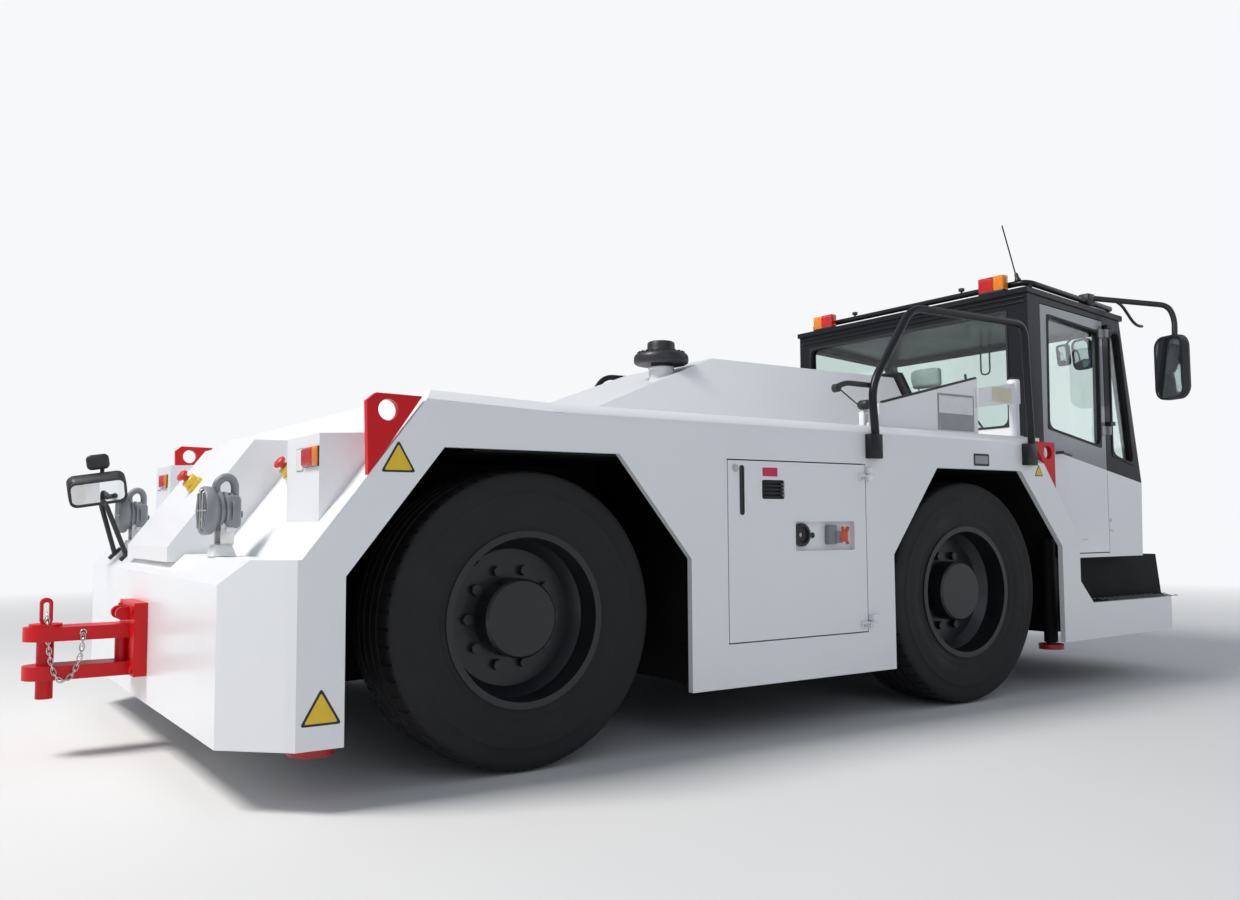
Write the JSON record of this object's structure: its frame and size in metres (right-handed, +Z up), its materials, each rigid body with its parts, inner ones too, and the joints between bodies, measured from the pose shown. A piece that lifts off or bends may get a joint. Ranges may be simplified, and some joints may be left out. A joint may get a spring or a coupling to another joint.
{
  "type": "aircraft pushback tractor",
  "caption": "Low four-wheeled aircraft tractor with ballasted tail, long side plates, mid hood, right-hand cab and a tow jaw at each end.",
  "frame": {"origin": "middle of the overall box on the ground", "axes": "+X forward towards the cab's end, +Y to the vehicle's left, +Z up"},
  "size_m": [5.9528, 3.162, 2.359],
  "materials": {
    "white_paint": "gloss",
    "black_paint": "satin",
    "red_paint": "gloss",
    "tyre": "matt",
    "wheel_black": "satin",
    "glass": "clear",
    "grey_metal": "satin",
    "grey_plastic": "matt",
    "black_plastic": "matt",
    "lens_red": "clear",
    "lens_orange": "clear",
    "seat_cloth": "woven",
    "mirror": "polished"
  },
  "bodies": {
    "chassis": {"frame": "black_paint", "cross_members": "black_paint", "engine": "grey_metal", "rear_body": "white_paint", "side_plates": "white_paint", "deck": "white_paint", "hood": "white_paint", "front_frame": "black_paint", "front_skirt": "white_paint", "front_box": "white_paint", "lamp_boxes": "white_paint", "lamps": "lens_red", "lifting_lugs": "red_paint", "hitch_rear": "red_paint", "hitch_front": "red_paint", "work_lamps": "grey_plastic", "intake": "black_plastic", "guard_rails": "black_paint", "side_screen": "white_paint", "cab_shell": "white_paint", "cab_frame": "black_paint", "cab_glass": "glass", "roof_rail": "black_paint", "seat_base": "black_plastic", "seat": "seat_cloth", "dash": "black_plastic", "steering_wheel": "black_plastic", "mirrors": "black_plastic", "axle_rear": "black_paint", "axle_front": "black_paint"},
    "wheel_rear_right": {"rim_rear_right": "wheel_black", "tyre_rear_right": "tyre"},
    "wheel_rear_left": {"rim_rear_left": "wheel_black", "tyre_rear_left": "tyre"},
    "knuckle_right": {"knuckle_right": "black_paint"},
    "knuckle_left": {"knuckle_left": "black_paint"},
    "wheel_front_right": {"rim_front_right": "wheel_black", "tyre_front_right": "tyre"},
    "wheel_front_left": {"rim_front_left": "wheel_black", "tyre_front_left": "tyre"},
    "tie_rod": {"tie_rod": "black_paint"},
    "hatch_right": {"hatch_right": "white_paint"},
    "hatch_left": {"hatch_left": "white_paint"},
    "door": {"cab_door": "white_paint", "cab_door_glass": "glass"},
    "tow_pin_rear": {"pin_rear": "red_paint"},
    "tow_pin_front": {"pin_front": "red_paint"},
    "jack_rear_right": {"jack_rear_right": "black_paint"},
    "jack_rear_left": {"jack_rear_left": "black_paint"},
    "jack_front_right": {"jack_front_right": "black_paint"},
    "jack_front_left": {"jack_front_left": "black_paint"}
  },
  "joints": [
    {"name": "spin_rear_right", "type": "hinge", "parent": "chassis", "child": "wheel_rear_right", "pos_m": [-1.6005, -1.095, 0.507], "axis": [0, 1, 0], "continuous": true},
    {"name": "spin_rear_left", "type": "hinge", "parent": "chassis", "child": "wheel_rear_left", "pos_m": [-1.6005, 1.095, 0.507], "axis": [0, 1, 0], "continuous": true},
    {"name": "steer_right", "type": "hinge", "parent": "chassis", "child": "knuckle_right", "pos_m": [0.7115, -0.9, 0.507], "axis": [0, 0, 1], "range_deg": [-28, 28]},
    {"name": "steer_left", "type": "hinge", "parent": "chassis", "child": "knuckle_left", "pos_m": [0.7115, 0.9, 0.507], "axis": [0, 0, 1], "range_deg": [-28, 28]},
    {"name": "spin_front_right", "type": "hinge", "parent": "knuckle_right", "child": "wheel_front_right", "pos_m": [0.7115, -1.095, 0.507], "axis": [0, 1, 0], "continuous": true},
    {"name": "spin_front_left", "type": "hinge", "parent": "knuckle_left", "child": "wheel_front_left", "pos_m": [0.7115, 1.095, 0.507], "axis": [0, 1, 0], "continuous": true},
    {"name": "tie_rod_end", "type": "hinge", "parent": "knuckle_right", "child": "tie_rod", "pos_m": [0.5215, -0.9, 0.4], "axis": [0, 0, 1], "range_deg": [-28, 28]},
    {"name": "hatch_right_hinge", "type": "hinge", "parent": "chassis", "child": "hatch_right", "pos_m": [-0.0205, -1.342, 0.7], "axis": [0, 0, 1], "range_deg": [0, 110]},
    {"name": "hatch_left_hinge", "type": "hinge", "parent": "chassis", "child": "hatch_left", "pos_m": [-0.0205, 1.342, 0.7], "axis": [0, 0, -1], "range_deg": [0, 110]},
    {"name": "cab_door_hinge", "type": "hinge", "parent": "chassis", "child": "door", "pos_m": [1.9105, -1.25, 1.3], "axis": [0, 0, 1], "range_deg": [0, 80]},
    {"name": "pin_lift_rear", "type": "slide", "parent": "chassis", "child": "tow_pin_rear", "axis": [0, 0, 1], "range_m": [0, 0.27]},
    {"name": "pin_lift_front", "type": "slide", "parent": "chassis", "child": "tow_pin_front", "axis": [0, 0, 1], "range_m": [0, 0.27]},
    {"name": "jack_slide_rear_right", "type": "slide", "parent": "chassis", "child": "jack_rear_right", "axis": [0, 0, -1], "range_m": [0, 0.12]},
    {"name": "jack_slide_rear_left", "type": "slide", "parent": "chassis", "child": "jack_rear_left", "axis": [0, 0, -1], "range_m": [0, 0.12]},
    {"name": "jack_slide_front_right", "type": "slide", "parent": "chassis", "child": "jack_front_right", "axis": [0, 0, -1], "range_m": [0, 0.12]},
    {"name": "jack_slide_front_left", "type": "slide", "parent": "chassis", "child": "jack_front_left", "axis": [0, 0, -1], "range_m": [0, 0.12]}
  ],
  "couplings": [
    {"joint": "steer_left", "follows": "steer_right", "ratio": 1},
    {"joint": "tie_rod_end", "follows": "steer_right", "ratio": -1}
  ]
}
